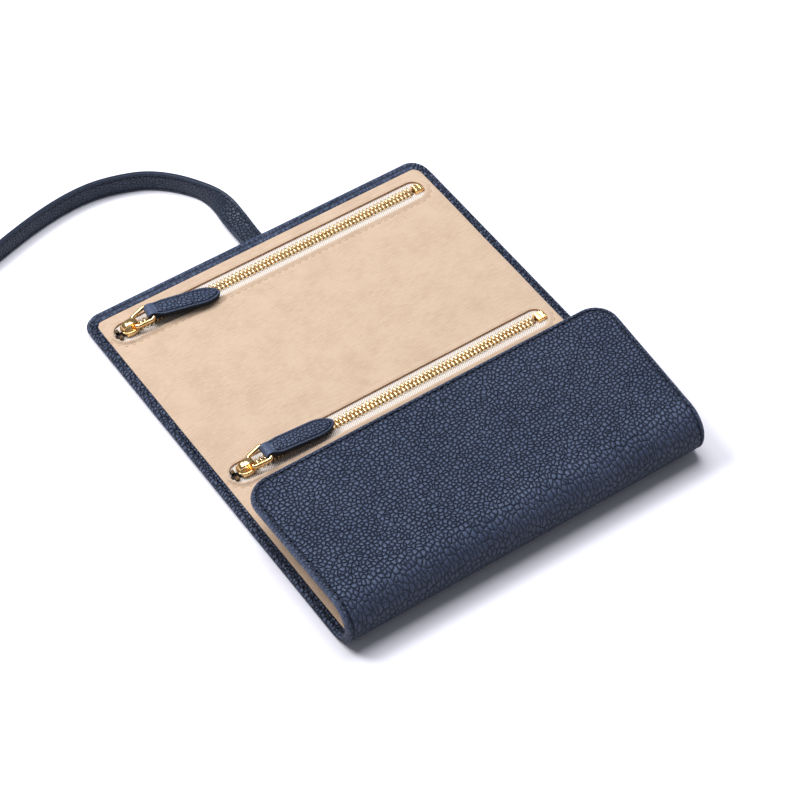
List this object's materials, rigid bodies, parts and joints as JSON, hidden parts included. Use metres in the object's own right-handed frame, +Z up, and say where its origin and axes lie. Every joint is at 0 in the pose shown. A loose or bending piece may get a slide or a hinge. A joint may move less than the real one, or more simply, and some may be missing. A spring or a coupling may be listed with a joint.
{
  "type": "trifold leather travel roll",
  "caption": "Trifold leather travel roll with a folded front flap, two zipped inner pockets and a long flat strap that wraps round it when closed.",
  "frame": {"origin": "centre of the opened roll's footprint, on the table, measured without the strap", "axes": "+X along the zips, +Y from the front fold to the far edge with the strap, +Z up from the table"},
  "size_m": [0.3005, 0.3723, 0.026],
  "materials": {
    "navy_leather": "full-grain pebbled, soft satin",
    "tan_suede": "napped suede, matt",
    "stiffener_board": "plain board, matt",
    "pocket_cotton": "plain cotton, matt",
    "zip_tape": "twill tape, matt",
    "gold_metal": "polished gold plate"
  },
  "bodies": {
    "middle_panel": {"middle_outer_leather": "navy_leather", "middle_stiffener": "stiffener_board", "middle_pocket_back": "pocket_cotton", "middle_lining": "tan_suede", "middle_border": "navy_leather", "zip_2_tapes": "zip_tape", "zip_2_teeth": "gold_metal", "zip_2_bottom_stop": "gold_metal", "zip_2_top_stops": "gold_metal"},
    "front_spine": {"spine_outer_leather": "navy_leather", "spine_stiffener": "stiffener_board", "spine_lining": "tan_suede", "spine_border": "navy_leather"},
    "front_flap": {"flap_outer_leather": "navy_leather", "flap_stiffener": "stiffener_board", "flap_lining": "tan_suede", "flap_border": "navy_leather"},
    "rear_strip": {"rear_outer_leather": "navy_leather", "rear_stiffener": "stiffener_board", "rear_lining": "tan_suede", "rear_border": "navy_leather"},
    "top_panel": {"top_outer_leather": "navy_leather", "top_stiffener": "stiffener_board", "top_pocket_back": "pocket_cotton", "top_lining": "tan_suede", "top_border": "navy_leather", "zip_1_tapes": "zip_tape", "zip_1_teeth": "gold_metal", "zip_1_bottom_stop": "gold_metal", "zip_1_top_stops": "gold_metal", "strap_tongue": "navy_leather", "strap_run": "navy_leather", "strap_coil": "navy_leather"},
    "slider_1": {"slider_1_body": "gold_metal", "slider_1_crown": "gold_metal"},
    "bail_1": {"pull_bail_1": "gold_metal"},
    "tab_1": {"pull_tab_1": "navy_leather"},
    "slider_2": {"slider_2_body": "gold_metal", "slider_2_crown": "gold_metal"},
    "bail_2": {"pull_bail_2": "gold_metal"},
    "tab_2": {"pull_tab_2": "navy_leather"}
  },
  "joints": [
    {"name": "front_fold_lower", "type": "hinge", "parent": "middle_panel", "child": "front_spine", "pos_m": [0, -0.10214, 0.00436], "axis": [1, 0, 0], "range_deg": [0, 90]},
    {"name": "front_fold_upper", "type": "hinge", "parent": "front_spine", "child": "front_flap", "pos_m": [0, -0.10214, 0.02164], "axis": [1, 0, 0], "range_deg": [0, 90]},
    {"name": "rear_fold_lower", "type": "hinge", "parent": "middle_panel", "child": "rear_strip", "pos_m": [0, 0.007, 0.004], "axis": [1, 0, 0], "range_deg": [0, 125]},
    {"name": "rear_fold_upper", "type": "hinge", "parent": "rear_strip", "child": "top_panel", "pos_m": [0, 0.047, 0.004], "axis": [1, 0, 0], "range_deg": [0, 55]},
    {"name": "zip_1_slide", "type": "slide", "parent": "top_panel", "child": "slider_1", "axis": [1, 0, 0], "range_m": [0, 0.144]},
    {"name": "bail_1_swing", "type": "hinge", "parent": "slider_1", "child": "bail_1", "pos_m": [-0.0724, 0.0893, 0.007], "axis": [0, -1, 0], "range_deg": [0, 135]},
    {"name": "tab_1_swing", "type": "hinge", "parent": "bail_1", "child": "tab_1", "pos_m": [-0.06381, 0.0893, 0.0089], "axis": [0, -1, 0], "range_deg": [0, 55]},
    {"name": "zip_2_slide", "type": "slide", "parent": "middle_panel", "child": "slider_2", "axis": [1, 0, 0], "range_m": [0, 0.144]},
    {"name": "bail_2_swing", "type": "hinge", "parent": "slider_2", "child": "bail_2", "pos_m": [-0.0724, -0.0055, 0.007], "axis": [0, -1, 0], "range_deg": [0, 135]},
    {"name": "tab_2_swing", "type": "hinge", "parent": "bail_2", "child": "tab_2", "pos_m": [-0.06381, -0.0055, 0.0089], "axis": [0, -1, 0], "range_deg": [0, 55]}
  ],
  "couplings": [
    {"joint": "front_fold_upper", "follows": "front_fold_lower", "ratio": 1},
    {"joint": "rear_fold_upper", "follows": "rear_fold_lower", "ratio": 0.44}
  ]
}
